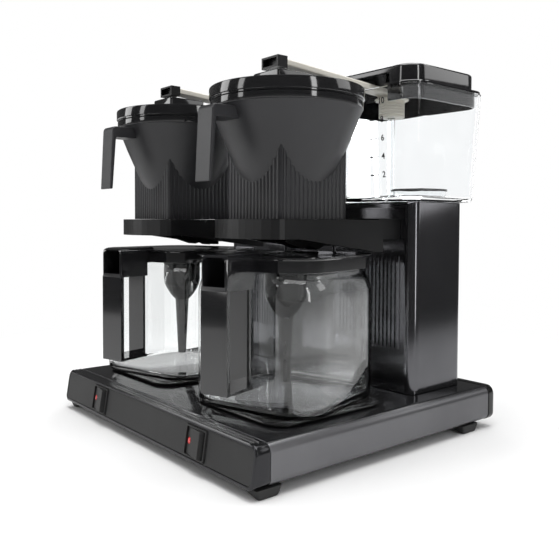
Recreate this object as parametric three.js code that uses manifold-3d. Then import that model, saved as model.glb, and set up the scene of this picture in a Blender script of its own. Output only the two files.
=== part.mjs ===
// Twin drip coffee brewer: two identical brewing units side by side on one shared base.
// Millimetres. +X right along the front, +Y to the back, +Z up, origin under the base centre.
import * as THREE from 'three';
import { mergeVertices } from 'three/addons/utils/BufferGeometryUtils.js';
import Module from 'manifold-3d';

const wasm = await Module();
wasm.setup();

// ---------------------------------------------------------------- driving dimensions
const UNIT_PITCH = 187.3;
const BASE_HALF_X = 179.5;
const BASE_FRONT_Y = -161.5;
const BASE_REAR_Y = 161.5;
const GLAND_Y = 165;
const BASE_BOTTOM_Z = 8.5;
const BASE_TOP_Z = 43.5;
const BASE_TOP_RADIUS = 8.5;
const BASE_LOW_RADIUS = 7;
const BASE_WALL = 2.2;
const FRONT_SEAM_Y = -142.9;
const REAR_SEAM_Y = 151.2;
const FACE_LEAN = 0.157;
const FACE_LEAN_ANGLE = Math.atan(FACE_LEAN);
const FOOT_FRONT_Y = -143;
const FOOT_REAR_Y = 122;

const SWITCH_X = 2.5;
const SWITCH_Z = 26.2;
const SWITCH_TILT = -12 * Math.PI / 180;

const PLATE_Y = -54;
const PLATE_HALF = 66.5;
const PLATE_RADIUS = 20;
const PLATE_TOP_Z = 47.4;

const TOWER_HALF_X = 61;
const TOWER_FRONT_Y = 56.5;
const TOWER_REAR_Y = 138.5;
const TOWER_RADIUS = 10.5;
const TOWER_TOP_Z = 237.4;
const TOWER_WALL = 1.6;

const TANK_LOW = { halfX: 66.5, front: 47, rear: 156.5, radius: 17, z: 237.7 };
const TANK_TOP = { halfX: 75, front: 38.5, rear: 161.5, radius: 22, z: 351 };
const TANK_WALL = 2.6;
const LID_TOP_Z = 372;
const LID_HALF_X = 66;
const LID_FRONT_Y = 47.5;
const LID_REAR_Y = 156;
const RISER_Y = 92;

const BASKET_Y = -56;
const BASKET_LID_RADIUS = 73;
const BASKET_RIM_Z = 327.3;
const SKIRT_HALF = 40.4;
const SLAB_TOP_Z = 218.4;
const SLAB_LOW_Z = 201;
const SLAB_HALF_X = 50;
const SLAB_REAR_Y = 24.5;
const ARM_SLOPE = 0.07;

const CARAFE_TURN = 15.2 * Math.PI / 180;
const CARAFE_HALF = 68;
const CARAFE_RADIUS = 32;
const CARAFE_FLOOR_Z = 47.9;
const HANDLE_REACH = 105;
const HANDLE_HALF_W = 14;

// ---------------------------------------------------------------- materials
const MATERIALS = {
  satin_metal: [0x6f7073, 1, 0.38],
  gloss_black: [0x0c0c0d, 0, 0.12],
  matte_black: [0x1c1c1e, 0, 0.55],
  soft_black: [0x2c2c2f, 0, 0.5],
  panel_grey: [0x3c3c3d, 0, 0.6],
  clear: [0xf2f5f7, 0, 0.05],
  cream: [0xf0ede2, 0, 0.4],
  lamp_red: [0xc01018, 0, 0.3],
  rubber: [0x151515, 0, 0.8],
  aluminium: [0xb5b7ba, 1, 0.4],
};

const group = new THREE.Group();
group.name = 'twin_drip_coffee_brewer';

function material(kind) {
  const [color, metalness, roughness] = MATERIALS[kind];
  const mat = new THREE.MeshStandardMaterial({ color, metalness, roughness });
  if (kind === 'clear') {
    mat.transparent = true;
    mat.opacity = 0.35;
  }
  return mat;
}

function toManifold(geometry) {
  const bare = geometry.clone();
  bare.deleteAttribute('normal');
  bare.deleteAttribute('uv');
  const merged = mergeVertices(bare, 1e-4);
  const vertProperties = new Float32Array(merged.attributes.position.array);
  const triVerts = new Uint32Array(merged.index.array);
  return new wasm.Manifold(new wasm.Mesh({ numProp: 3, vertProperties, triVerts }));
}

function toGeometry(solid) {
  const mesh = solid.getMesh();
  const geometry = new THREE.BufferGeometry();
  geometry.setAttribute('position', new THREE.BufferAttribute(mesh.vertProperties.slice(), 3));
  geometry.setIndex(new THREE.BufferAttribute(mesh.triVerts.slice(), 1));
  geometry.computeVertexNormals();
  return geometry;
}

function addNode(name, solid, kind, dx = 0) {
  const geometry = toGeometry(solid);
  geometry.translate(dx, 0, 0);
  const mesh = new THREE.Mesh(geometry, material(kind));
  mesh.name = name;
  group.add(mesh);
}

// ---------------------------------------------------------------- shape helpers
function box(x0, x1, y0, y1, z0, z1) {
  const geometry = new THREE.BoxGeometry(x1 - x0, y1 - y0, z1 - z0);
  geometry.translate((x0 + x1) / 2, (y0 + y1) / 2, (z0 + z1) / 2);
  return toManifold(geometry);
}

function lathe(profile, segments, x = 0, y = 0) {
  const points = profile.map(([r, z]) => new THREE.Vector2(r, z));
  const geometry = new THREE.LatheGeometry(points, segments);
  geometry.rotateX(Math.PI / 2);
  geometry.translate(x, y, 0);
  const solid = toManifold(geometry);
  return solid;
}

function rod(x, y, z0, z1, radius, segments = 20) {
  return lathe([[0, z0], [radius, z0], [radius, z1], [0, z1]], segments, x, y);
}

function rodX(x0, x1, y, z, radius, segments = 16) {
  const geometry = new THREE.CylinderGeometry(radius, radius, x1 - x0, segments);
  geometry.rotateZ(Math.PI / 2);
  geometry.translate((x0 + x1) / 2, y, z);
  return toManifold(geometry);
}

// Skins a stack of closed rings that all have the same number of points.
function loft(rings) {
  const count = rings[0].length;
  const positions = [];
  const index = [];
  for (const ring of rings) {
    for (const p of ring) positions.push(p[0], p[1], p[2]);
  }
  for (let k = 0; k + 1 < rings.length; k += 1) {
    for (let i = 0; i < count; i += 1) {
      const j = (i + 1) % count;
      const a = k * count + i;
      const b = k * count + j;
      index.push(a, b, b + count);
      index.push(a, b + count, a + count);
    }
  }
  addCap(positions, index, rings[0], 0, true);
  addCap(positions, index, rings[rings.length - 1], (rings.length - 1) * count, false);
  const geometry = new THREE.BufferGeometry();
  geometry.setAttribute('position', new THREE.Float32BufferAttribute(positions, 3));
  geometry.setIndex(index);
  return toManifold(geometry);
}

function addCap(positions, index, ring, first, flipped) {
  const centre = [0, 0, 0];
  for (const p of ring) {
    for (let k = 0; k < 3; k += 1) centre[k] += p[k] / ring.length;
  }
  const hub = positions.length / 3;
  positions.push(...centre);
  for (let i = 0; i < ring.length; i += 1) {
    const j = (i + 1) % ring.length;
    if (flipped) index.push(hub, first + j, first + i);
    else index.push(hub, first + i, first + j);
  }
}

// Counter-clockwise rounded rectangle, seen from above.
function roundedPoints(x0, x1, y0, y1, radius, steps = 5) {
  const corners = [[x1 - radius, y1 - radius, 0], [x0 + radius, y1 - radius, 1],
    [x0 + radius, y0 + radius, 2], [x1 - radius, y0 + radius, 3]];
  const points = [];
  for (const [cx, cy, turn] of corners) {
    for (let k = 0; k <= steps; k += 1) {
      const angle = (turn + k / steps) * Math.PI / 2;
      points.push([cx + radius * Math.cos(angle), cy + radius * Math.sin(angle)]);
    }
  }
  return points;
}

function levelRing(x0, x1, y0, y1, radius, z, steps = 5) {
  return roundedPoints(x0, x1, y0, y1, radius, steps).map(([x, y]) => [x, y, z]);
}

function squareRing(half, radius, z, y = 0, steps = 4) {
  return levelRing(-half, half, y - half, y + half, radius, z, steps);
}

function extrudeZ(points, z0, z1) {
  const shape = new THREE.Shape(points.map(([x, y]) => new THREE.Vector2(x, y)));
  const geometry = new THREE.ExtrudeGeometry(shape, { depth: z1 - z0, bevelEnabled: false });
  geometry.translate(0, 0, z0);
  return toManifold(geometry);
}

// Outline in Y and Z, swept along X.
function extrudeX(points, x0, x1) {
  const shape = new THREE.Shape(points.map(([y, z]) => new THREE.Vector2(y, z)));
  const geometry = new THREE.ExtrudeGeometry(shape, { depth: x1 - x0, bevelEnabled: false });
  geometry.applyMatrix4(new THREE.Matrix4().set(0, 0, 1, x0, 1, 0, 0, 0, 0, 1, 0, 0, 0, 0, 0, 1));
  return toManifold(geometry);
}

function turned(solid, axis, angle, pivot) {
  const geometry = toGeometry(solid);
  geometry.translate(-pivot[0], -pivot[1], -pivot[2]);
  if (axis === 'x') geometry.rotateX(angle);
  if (axis === 'z') geometry.rotateZ(angle);
  geometry.translate(pivot[0], pivot[1], pivot[2]);
  return toManifold(geometry);
}

// ---------------------------------------------------------------- shared base
function faceY(z) {
  return BASE_FRONT_Y + (z - BASE_BOTTOM_Z) * FACE_LEAN;
}

// Cross-section of the base, softly rounded at the top edges and the lower edges.
function baseOutline(inset) {
  const x = BASE_HALF_X - inset;
  const top = BASE_TOP_Z - inset;
  const low = BASE_BOTTOM_Z + inset;
  const rt = Math.max(BASE_TOP_RADIUS - inset, 1.5);
  const rl = Math.max(BASE_LOW_RADIUS - inset, 1.5);
  const points = [];
  const corners = [[x - rt, top - rt, rt, 0], [-x + rt, top - rt, rt, 1],
    [-x + rl, low + rl, rl, 2], [x - rl, low + rl, rl, 3]];
  for (const [cx, cz, r, turn] of corners) {
    for (let k = 0; k <= 4; k += 1) {
      const angle = (turn + k / 4) * Math.PI / 2;
      points.push([cx + r * Math.cos(angle), cz + r * Math.sin(angle)]);
    }
  }
  return points;
}

function baseRing(inset, yOf) {
  return baseOutline(inset).map(([x, z]) => [x, yOf(z), z]).reverse();
}

function buildHousing() {
  const outer = loft([baseRing(0, () => FRONT_SEAM_Y), baseRing(0, () => REAR_SEAM_Y)]);
  const hollow = loft([baseRing(BASE_WALL, () => FRONT_SEAM_Y - 1), baseRing(BASE_WALL, () => REAR_SEAM_Y + 1)]);
  let body = outer.subtract(hollow);
  body = body.subtract(box(-158, 158, -132, 140, BASE_BOTTOM_Z - 1, BASE_BOTTOM_Z + BASE_WALL + 1));
  for (const side of [-1, 1]) {
    const x = side * UNIT_PITCH / 2;
    body = body.subtract(rod(x, PLATE_Y, 38, 46, 50, 40));
    body = body.subtract(rod(x, 98, 38, 46, 16, 20));
  }
  addNode('base_housing', body, 'satin_metal');
  const plate = box(-157.6, 157.6, -131.6, 139.6, BASE_BOTTOM_Z + 0.2, BASE_BOTTOM_Z + 1.8);
  addNode('base_bottom_plate', plate, 'aluminium');
}

function switchOpening(x, halfX, halfZ) {
  const cut = box(x - halfX, x + halfX, faceY(SWITCH_Z) - 4, faceY(SWITCH_Z) + 22, SWITCH_Z - halfZ, SWITCH_Z + halfZ);
  return turned(cut, 'x', -FACE_LEAN_ANGLE, [x, faceY(SWITCH_Z), SWITCH_Z]);
}

function buildFrontCap() {
  const rings = [
    baseRing(1.4, faceY),
    baseRing(0.4, (z) => faceY(z) + 0.5),
    baseRing(0, (z) => faceY(z) + 1.8),
    baseRing(0, () => FRONT_SEAM_Y - 0.3),
  ];
  let cap = loft(rings);
  cap = cap.subtract(loft([baseRing(3.2, (z) => faceY(z) + 5), baseRing(3.2, () => FRONT_SEAM_Y + 1)]));
  cap = cap.subtract(loft([baseRing(3, (z) => faceY(z) - 2), baseRing(3, (z) => faceY(z) + 1.8)]));
  let panel = loft([baseRing(3.3, (z) => faceY(z) + 0.3), baseRing(3.3, (z) => faceY(z) + 1.5)]);
  for (const side of [-1, 1]) {
    const x = side * UNIT_PITCH / 2 + SWITCH_X;
    cap = cap.subtract(switchOpening(x, 16, 13.7));
    panel = panel.subtract(switchOpening(x, 16, 13.7));
  }
  addNode('front_end_cap', cap, 'satin_metal');
  addNode('control_panel', panel, 'panel_grey');
}

function buildRearCap() {
  const rings = [
    baseRing(-0.5, () => REAR_SEAM_Y + 0.3),
    baseRing(-0.5, () => BASE_REAR_Y - 2.5),
    baseRing(0.3, () => BASE_REAR_Y - 0.7),
    baseRing(2, () => BASE_REAR_Y),
  ];
  let cap = loft(rings);
  cap = cap.subtract(loft([baseRing(3, () => REAR_SEAM_Y - 1), baseRing(3, () => BASE_REAR_Y - 3)]));
  cap = cap.subtract(turned(rod(0, -26, 150, 170, 6.4), 'x', -Math.PI / 2, [0, 0, 0]));
  addNode('rear_end_cap', cap, 'gloss_black');
  const gland = lathe([[0, 155], [6.1, 155], [6.1, 161.8], [8.4, 161.8], [8.4, 164], [7.8, GLAND_Y], [3.4, GLAND_Y],
    [3.4, 159], [0, 159]], 18, 0, -26);
  addNode('cord_gland', turned(gland, 'x', -Math.PI / 2, [0, 0, 0]), 'rubber');
}

// Wedge foot: a narrow tread near the side of the base, flaring inwards as it rises.
function buildFoot(name, side, y) {
  const rings = [[171.4, 177, 9.6, 0], [170.6, 177.4, 10.2, 0.7], [164, 178, 11.2, 3.2], [152, 178.4, 13, 8.2]];
  const loop = ([inner, outer, halfY, z]) => {
    const low = side > 0 ? inner : -outer;
    const high = side > 0 ? outer : -inner;
    return levelRing(low, high, y - halfY, y + halfY, 2, z, 3);
  };
  addNode(name, loft(rings.map(loop)), 'rubber');
}

function buildBase() {
  buildHousing();
  buildFrontCap();
  buildRearCap();
  buildFoot('foot_front_left', -1, FOOT_FRONT_Y);
  buildFoot('foot_front_right', 1, FOOT_FRONT_Y);
  buildFoot('foot_rear_left', -1, FOOT_REAR_Y);
  buildFoot('foot_rear_right', 1, FOOT_REAR_Y);
}

// ---------------------------------------------------------------- power switch
function onPanel(solid) {
  return turned(solid, 'x', -FACE_LEAN_ANGLE, [SWITCH_X, faceY(SWITCH_Z), SWITCH_Z]);
}

function buildSwitch(side, dx) {
  const y = faceY(SWITCH_Z);
  const ring = (half, halfZ, radius, depth) => (
    roundedPoints(SWITCH_X - half, SWITCH_X + half, SWITCH_Z - halfZ, SWITCH_Z + halfZ, radius, 2)
      .map(([px, pz]) => [px, y + depth, pz]).reverse());
  const frame = loft([ring(15.2, 12.9, 1.6, -1.5), ring(15.6, 13.3, 2, -1.1), ring(15.6, 13.3, 2, 13)]);
  const opening = loft([ring(14.2, 11.9, 1, -3), ring(14.2, 11.9, 1, 11.5)]);
  addNode(`${side}_rocker_bezel`, onPanel(frame.subtract(opening)), 'gloss_black', dx);
  const pivot = [SWITCH_X, y + 5.5, SWITCH_Z];
  const body = loft([ring(12, 11.2, 1, -2.4), ring(12.4, 11.6, 1, -2), ring(12.4, 11.6, 1, 5), ring(9, 11.6, 1, 8)]);
  const lampAt = (z0, z1, radius) => {
    const pin = rod(0, 0, z0, z1, radius, 18);
    const geometry = toGeometry(turned(pin, 'x', Math.PI / 2, [0, 0, 0]));
    geometry.translate(SWITCH_X - 8.3, y, SWITCH_Z);
    return toManifold(geometry);
  };
  const key = body.subtract(lampAt(-1, 5, 3.1));
  const place = (solid) => onPanel(turned(solid, 'z', SWITCH_TILT, pivot));
  addNode(`${side}_rocker_switch`, place(key), 'panel_grey', dx);
  addNode(`${side}_indicator_lamp`, place(lampAt(-0.7, 2.6, 2.8)), 'lamp_red', dx);
}

// ---------------------------------------------------------------- hot plate
function buildHotPlate(side, dx) {
  const steps = [[-4, 43.8], [-4, 45], [-0.6, 45.5], [0, 46], [0, 46.9], [-0.6, 47.3], [-3.4, 47.3],
    [-4.4, 46.4], [-7.6, 46.4], [-8.6, PLATE_TOP_Z], [-30, PLATE_TOP_Z]];
  const rings = steps.map(([grow, z]) => (
    squareRing(PLATE_HALF + grow, Math.max(PLATE_RADIUS + grow, 8), z, PLATE_Y)));
  addNode(`${side}_hot_plate`, loft(rings), 'gloss_black', dx);
  const coil = lathe([[14, 35.5], [46, 35.5], [46, 43.3], [14, 43.3], [14, 35.5]], 28, 0, PLATE_Y);
  addNode(`${side}_heating_element`, coil, 'aluminium', dx);
}

// ---------------------------------------------------------------- tower
function buildTower(side, dx) {
  const ring = (inset, z) => (
    levelRing(-TOWER_HALF_X + inset, TOWER_HALF_X - inset, TOWER_FRONT_Y + inset, TOWER_REAR_Y - inset,
      TOWER_RADIUS - inset, z, 4));
  let shell = loft([ring(0, 43.9), ring(0, TOWER_TOP_Z - 1), ring(1, TOWER_TOP_Z)]);
  shell = shell.subtract(loft([ring(TOWER_WALL, 42), ring(TOWER_WALL, TOWER_TOP_Z - 2)]));
  shell = shell.subtract(box(-49, 49, TOWER_FRONT_Y - 3, TOWER_FRONT_Y + 4, 52, 230));
  shell = shell.subtract(rod(0, RISER_Y, 230, 240, 5.2, 16));
  addNode(`${side}_tower_shell`, shell, 'matte_black', dx);
  let panel = box(-48.7, 48.7, TOWER_FRONT_Y + 0.2, TOWER_FRONT_Y + 2, 52.3, 229.7);
  for (let k = -8; k <= 8; k += 1) {
    const x = k * 5.3;
    const rib = [[x - 1.5, TOWER_FRONT_Y + 1], [x - 0.7, TOWER_FRONT_Y - 1], [x + 0.7, TOWER_FRONT_Y - 1],
      [x + 1.5, TOWER_FRONT_Y + 1]];
    panel = panel.add(extrudeZ(rib, 88, 182));
  }
  addNode(`${side}_tower_front_panel`, panel, 'matte_black', dx);
  const drum = rodX(-38, 38, 98, 76, 17, 24);
  const outlet = rod(0, RISER_Y, 76, 236.6, 4, 16);
  const inlet = rod(30, 98, 76, 226, 4, 16);
  addNode(`${side}_boiler`, drum.add(outlet).add(inlet), 'aluminium', dx);
}

// ---------------------------------------------------------------- water tank and its lid
function tankRing(t, inset, grow = 0) {
  const mix = (key) => TANK_LOW[key] + (TANK_TOP[key] - TANK_LOW[key]) * t;
  const radius = Math.max(mix('radius') - inset, 3);
  const half = mix('halfX') - inset + grow;
  return levelRing(-half, half, mix('front') + inset - grow, mix('rear') - inset + grow, radius, mix('z'), 5);
}

function buildTank(side, dx) {
  const base = tankRing(0, 3.5).map(([x, y]) => [x, y, TANK_LOW.z]);
  const outer = loft([base, tankRing(0.01, 1), tankRing(0.04, 0), tankRing(1, 0)]);
  const inner = loft([tankRing(0.035, TANK_WALL + 1.5), tankRing(0.06, TANK_WALL), tankRing(1.02, TANK_WALL)]);
  const tank = outer.subtract(inner).subtract(rod(0, RISER_Y, 230, 250, 4.5, 20));
  addNode(`${side}_water_tank`, tank, 'clear', dx);
}

function buildTankLid(side, dx) {
  const ring = (inset, z) => (
    levelRing(-LID_HALF_X + inset, LID_HALF_X - inset, LID_FRONT_Y + inset, LID_REAR_Y - inset, 20 - inset, z, 4));
  const flange = (inset, z) => levelRing(-74 + inset, 74 - inset, 39.5 + inset, 161 - inset, 22 - inset, z, 4);
  const skirt = (inset, z) => levelRing(-69 + inset, 69 - inset, 45.2 + inset, 154.8 - inset, 18 - inset, z, 4);
  let lid = loft([ring(0, 352.5), ring(0, LID_TOP_Z - 1.5), ring(0.5, LID_TOP_Z - 0.4), ring(1.6, LID_TOP_Z)]);
  lid = lid.add(loft([flange(0, 351.3), flange(0, 352.8), flange(0.8, 353.6)]));
  lid = lid.add(loft([skirt(1, 337), skirt(0, 338), skirt(0, 352.5)]));
  lid = lid.subtract(loft([skirt(2.2, 330), skirt(2.2, 350)]));
  lid = lid.subtract(loft([ring(2.4, 349), ring(2.4, LID_TOP_Z - 2.4)]));
  lid = lid.subtract(box(-36, 36, 30, 62, 330, 366.3));
  addNode(`${side}_tank_lid`, lid, 'gloss_black', dx);
}

// ---------------------------------------------------------------- water path to the basket
function armZ(y, lift) {
  return 356.4 - ARM_SLOPE * y + lift;
}

function buildWaterPath(side, dx) {
  const riser = lathe([[2.8, 238.3], [4, 238.3], [4, 346], [2.8, 346], [2.8, 238.3]], 14, 0, RISER_Y);
  addNode(`${side}_riser_tube`, riser, 'clear', dx);
  const profile = [[4.4, 328]];
  for (let k = 0; k < 4; k += 1) {
    profile.push([12.2, 328 + k * 4.5], [13.5, 329.2 + k * 4.5], [13.5, 331.4 + k * 4.5]);
  }
  profile.push([12.2, 346], [18, 346.4], [18, 348.2], [4.4, 348.2], [4.4, 328]);
  addNode(`${side}_riser_collar`, lathe(profile, 16, 0, RISER_Y), 'cream', dx);
  const low = (y) => armZ(y, 0);
  const top = (y) => armZ(y, 6.1);
  const bar = [[-65.2, low(-65.2)], [78, low(78)], [80, 348.5], [104, 348.5], [104, 353], [100, top(100)],
    [-65.2, top(-65.2)]];
  addNode(`${side}_outlet_arm`, extrudeX(bar, -8.5, 8.5), 'cream', dx);
  const head = box(-12, 12, -77, -65.5, 357.6, 368.2);
  const recess = box(-10, 10, -80, -71, 359.4, 366.4);
  addNode(`${side}_arm_end_cap`, head.subtract(recess), 'gloss_black', dx);
}

// ---------------------------------------------------------------- brew basket
function buildBasket(side, dx) {
  const coneOut = [[0, 229], [14, 229], [30, 240], [40.5, 253], [48, 265.5], [61.6, 296.4], [70.6, 319.4],
    [71.4, 320.4], [71.4, BASKET_RIM_Z], [0, BASKET_RIM_Z]];
  const coneIn = [[0, 231.6], [12, 231.6], [28, 242.4], [38, 254.4], [45.6, 267], [59.2, 297.4], [68.4, 320.6],
    [68.6, BASKET_RIM_Z + 1], [0, BASKET_RIM_Z + 1]];
  const cone = lathe(coneOut, 36, 0, BASKET_Y);
  const skirt = loft([squareRing(SKIRT_HALF, 3, 218.8, BASKET_Y, 2), squareRing(SKIRT_HALF, 3, 290, BASKET_Y, 2)]);
  const inside = box(-37.2, 37.2, BASKET_Y - 37.2, BASKET_Y + 37.2, 217, 291);
  const hook = [[-112, 305.6], [-143.4, 305.6], [-147.6, 250.4], [-151, 250.4], [-147.6, 313.4], [-146.2, 316],
    [-143.8, 316.7], [-112, 316.7]];
  let basket = cone.add(skirt.subtract(inside));
  basket = basket.add(rod(0, BASKET_Y, 219.6, 232, 7, 20));
  basket = basket.add(extrudeX(hook, -11.5, 11.5));
  basket = basket.subtract(lathe(coneIn, 36, 0, BASKET_Y));
  basket = basket.subtract(rod(0, BASKET_Y, 215, 236, 3.4, 16));
  addNode(`${side}_brew_basket`, basket, 'soft_black', dx);
}

function buildBasketLid(side, dx) {
  const r = BASKET_LID_RADIUS;
  const low = BASKET_RIM_Z + 0.3;
  const profile = [[0, 335.8], [67, 335.8], [69.6, 333], [69.6, low], [r, low], [r, 338.4], [r - 1.2, 339.4],
    [0, 340.4]];
  let lid = lathe(profile, 48, 0, BASKET_Y);
  const plateau = loft([levelRing(-19, 19, -82, -38, 1.2, 337, 2), levelRing(-19, 19, -82, -38, 1.2, 353.6, 2),
    levelRing(-18.2, 18.2, -81.2, -38.8, 1, 354.4, 2)]);
  lid = lid.add(plateau);
  lid = lid.subtract(box(-16.6, 16.6, -79.6, -40.4, 333, 352));
  lid = lid.subtract(rod(0, -60, 350, 356, 6, 14));
  addNode(`${side}_basket_lid`, lid, 'gloss_black', dx);
}

// ---------------------------------------------------------------- basket holder and drip stop
function slabOutline() {
  const points = [[SLAB_HALF_X, SLAB_REAR_Y], [-SLAB_HALF_X, SLAB_REAR_Y]];
  const steps = 10;
  for (let k = 0; k <= steps; k += 1) {
    const x = -42 + 84 * k / steps;
    const bulge = 118.5 + Math.sqrt(95 * 95 - x * x) - 95;
    if (k === 0) points.push([-SLAB_HALF_X, -100], [-48.6, -104.4]);
    points.push([x, -bulge]);
    if (k === steps) points.push([48.6, -104.4], [SLAB_HALF_X, -100]);
  }
  return points;
}

function buildHolder(side, dx) {
  let slab = extrudeZ(slabOutline(), SLAB_LOW_Z, SLAB_TOP_Z);
  for (const s of [-1, 1]) {
    const web = [[-82, SLAB_LOW_Z + 1], [-82, SLAB_LOW_Z], [17, 187.4], [SLAB_REAR_Y, 187.4],
      [SLAB_REAR_Y, SLAB_LOW_Z + 1]];
    slab = slab.add(extrudeX(web, s > 0 ? 43 : -SLAB_HALF_X, s > 0 ? SLAB_HALF_X : -43));
    slab = slab.add(box(s > 0 ? 8.4 : -11.4, s > 0 ? 11.4 : -8.4, -3, 5, 195, SLAB_LOW_Z + 1));
  }
  slab = slab.subtract(rod(0, BASKET_Y, 195, 220, 9, 24));
  slab = slab.subtract(box(-8.1, 8.1, -70, 8, 195, 208));
  slab = slab.subtract(rodX(-13, 13, 1, 198.2, 1.9, 16));
  addNode(`${side}_basket_holder`, slab, 'matte_black', dx);
  const bracket = box(-44, 44, SLAB_REAR_Y + 0.3, TOWER_FRONT_Y - 0.3, 199.4, 219.8);
  addNode(`${side}_holder_bracket`, bracket, 'matte_black', dx);
  const teeth = [[3.4, 200.4], [-60, 200.4], [-64, 198], [-62, 196.6], [-52, 193.6], [-42, 190.6], [-33, 193.4],
    [-23, 189.2], [-14, 193], [-6, 192.6], [3.4, 195.6]];
  const lever = extrudeX(teeth, -7.6, 7.6).add(rodX(-11.2, 11.2, 1, 198.2, 1.5, 16));
  addNode(`${side}_drip_stop_lever`, lever, 'matte_black', dx);
}

// ---------------------------------------------------------------- carafe
function onCarafe(solid) {
  const geometry = toGeometry(solid);
  geometry.rotateZ(CARAFE_TURN);
  geometry.translate(0, BASKET_Y, 0);
  return toManifold(geometry);
}

function buildGlass(side, dx) {
  const h = CARAFE_HALF;
  const r = CARAFE_RADIUS;
  const z = CARAFE_FLOOR_Z;
  const outer = [[h - 8, r - 6, z], [h - 3, r - 2, z + 1], [h - 0.8, r, z + 4], [h, r, z + 8], [h, r, 150],
    [h - 0.8, r, 158], [h - 3, r - 1, 164], [h - 6, r - 3, 168.5], [h - 7.4, r - 4, 172], [h - 7.6, r - 4, 182.8]];
  const inner = [[h - 9, r - 6, z + 3], [h - 4, r - 2, z + 5], [h - 2.2, r - 1, z + 9], [h - 2.2, r - 1, 150],
    [h - 3, r - 1, 157.6], [h - 5.2, r - 2, 163.2], [h - 8.2, r - 4, 167.6], [h - 9.6, r - 5, 171.6],
    [h - 9.8, r - 5, 186]];
  const rings = (list) => list.map(([half, radius, level]) => squareRing(half, radius, level));
  addNode(`${side}_carafe_glass`, onCarafe(loft(rings(outer)).subtract(loft(rings(inner)))), 'clear', dx);
}

function buildCollar(side, dx) {
  const h = CARAFE_HALF - 3;
  let collar = loft([squareRing(h, 29.4, 172.6), squareRing(h, 29.4, 183.6), squareRing(h + 3.8, 33, 184.8),
    squareRing(h + 4, 33, 186.2)]);
  const w = HANDLE_HALF_W;
  const reach = HANDLE_REACH;
  const crown = [[-reach, 158.5], [-reach, 182], [-reach + 2, 186.6], [-reach + 6.6, 188.6], [-58, 188.6], [-58, 158.5]];
  collar = collar.add(extrudeX(crown, -w, w));
  collar = collar.add(box(-w, w, -reach, -reach + 4, 72, 160));
  collar = collar.add(box(-w, w, -reach + 0.5, -68.5, 72, 74.6));
  collar = collar.add(box(-w, w, -78, -68.5, 72.5, 161));
  collar = collar.subtract(box(-w + 2, w - 2, -76, -60, 75.5, 157));
  const recess = [[-reach - 1, 161], [-reach - 1, 186.4], [-72, 186.4], [-72, 164]];
  collar = collar.subtract(extrudeX(recess, -w + 2.2, w - 2.2));
  collar = collar.subtract(loft([squareRing(h - 4.2, 27, 150), squareRing(h - 4.2, 27, 183.2)]));
  collar = collar.subtract(loft([squareRing(h + 3, 32, 150), squareRing(h + 3, 32, 172.3)]));
  collar = collar.subtract(rod(0, 0, 180, 184.7, 53, 36)).subtract(rod(0, 0, 184.6, 190, 56, 36));
  addNode(`${side}_carafe_collar`, onCarafe(collar), 'gloss_black', dx);
}

function buildCarafeLid(side, dx) {
  const profile = [[0, 180.6], [9, 180.6], [9, 178], [38, 178], [51.6, 183.6], [51.6, 184.9], [54.8, 185.4],
    [54.4, 186.6], [18, 186.4], [0, 185]];
  addNode(`${side}_carafe_lid`, onCarafe(lathe(profile, 32)), 'gloss_black', dx);
  const tube = [[3, 64], [4.4, 64], [7.4, 127], [13, 133], [20, 149], [20.4, 177.6], [8.6, 177.6], [8.6, 180.2],
    [4, 180.2], [7, 176], [18.8, 176], [18.4, 149.6], [12, 134.8], [5.6, 128.6], [3, 64]];
  addNode(`${side}_mixing_tube`, onCarafe(lathe(tube, 18)), 'matte_black', dx);
}

function buildUnit(side, dx) {
  buildSwitch(side, dx);
  buildHotPlate(side, dx);
  buildTower(side, dx);
  buildTank(side, dx);
  buildTankLid(side, dx);
  buildWaterPath(side, dx);
  buildBasket(side, dx);
  buildBasketLid(side, dx);
  buildHolder(side, dx);
  buildGlass(side, dx);
  buildCollar(side, dx);
  buildCarafeLid(side, dx);
}

buildBase();
buildUnit('left', -UNIT_PITCH / 2);
buildUnit('right', UNIT_PITCH / 2);

export default group;
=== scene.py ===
import bmesh
import bpy
import math
from mathutils import Matrix, Vector


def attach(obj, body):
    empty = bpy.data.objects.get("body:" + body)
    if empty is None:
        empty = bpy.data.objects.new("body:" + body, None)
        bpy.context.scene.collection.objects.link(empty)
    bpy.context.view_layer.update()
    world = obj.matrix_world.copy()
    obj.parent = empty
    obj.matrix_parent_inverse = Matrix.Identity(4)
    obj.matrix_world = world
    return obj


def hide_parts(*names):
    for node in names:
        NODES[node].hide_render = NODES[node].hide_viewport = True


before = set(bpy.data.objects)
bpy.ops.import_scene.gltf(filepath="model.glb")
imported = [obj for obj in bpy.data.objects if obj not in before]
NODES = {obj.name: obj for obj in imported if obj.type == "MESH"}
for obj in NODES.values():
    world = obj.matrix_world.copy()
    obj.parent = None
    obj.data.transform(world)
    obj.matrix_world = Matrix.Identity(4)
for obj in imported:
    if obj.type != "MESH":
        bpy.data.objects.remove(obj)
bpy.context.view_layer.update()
MM = 0.001
UNITS = (("left", -93.65), ("right", 93.65))

# Lengths below and in the build functions are in millimetres.
BASE_HALF_X, BASE_LOW_Z, BASE_TOP_Z = 179.5, 8.5, 43.5
HOUSING_FRONT_Y, HOUSING_REAR_Y = -142.9, 151.2
FACE_LOW_Y, FACE_LEAN = -161.5, 0.157
LEAN_ANGLE = math.atan(FACE_LEAN)
SWITCH_X, SWITCH_Z, SWITCH_TILT = 2.5, 26.2, math.radians(-12)
LAMP_OFFSET_X = -8.3
CARAFE_TURN = math.radians(15.2)
CARAFE_HALF, CARAFE_RADIUS, CARAFE_FLOOR_Z = 68, 32, 47.9
COLLAR_HALF, HANDLE_HALF, HANDLE_REACH, STRAP_HALF = 65.0, 14.0, 105.0, 11
AXIS_Y = -56.0
RISER_Y = 92.0
TANK_LOW_Z, TANK_RISE, TANK_SPREAD, TANK_FRONT_Y = 237.7, 113.3, 8.5, 47
WELL_X, WELL_Y = 17, 118
SCALE_LOW_Z, SCALE_STEP = 264, 18.25
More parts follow.
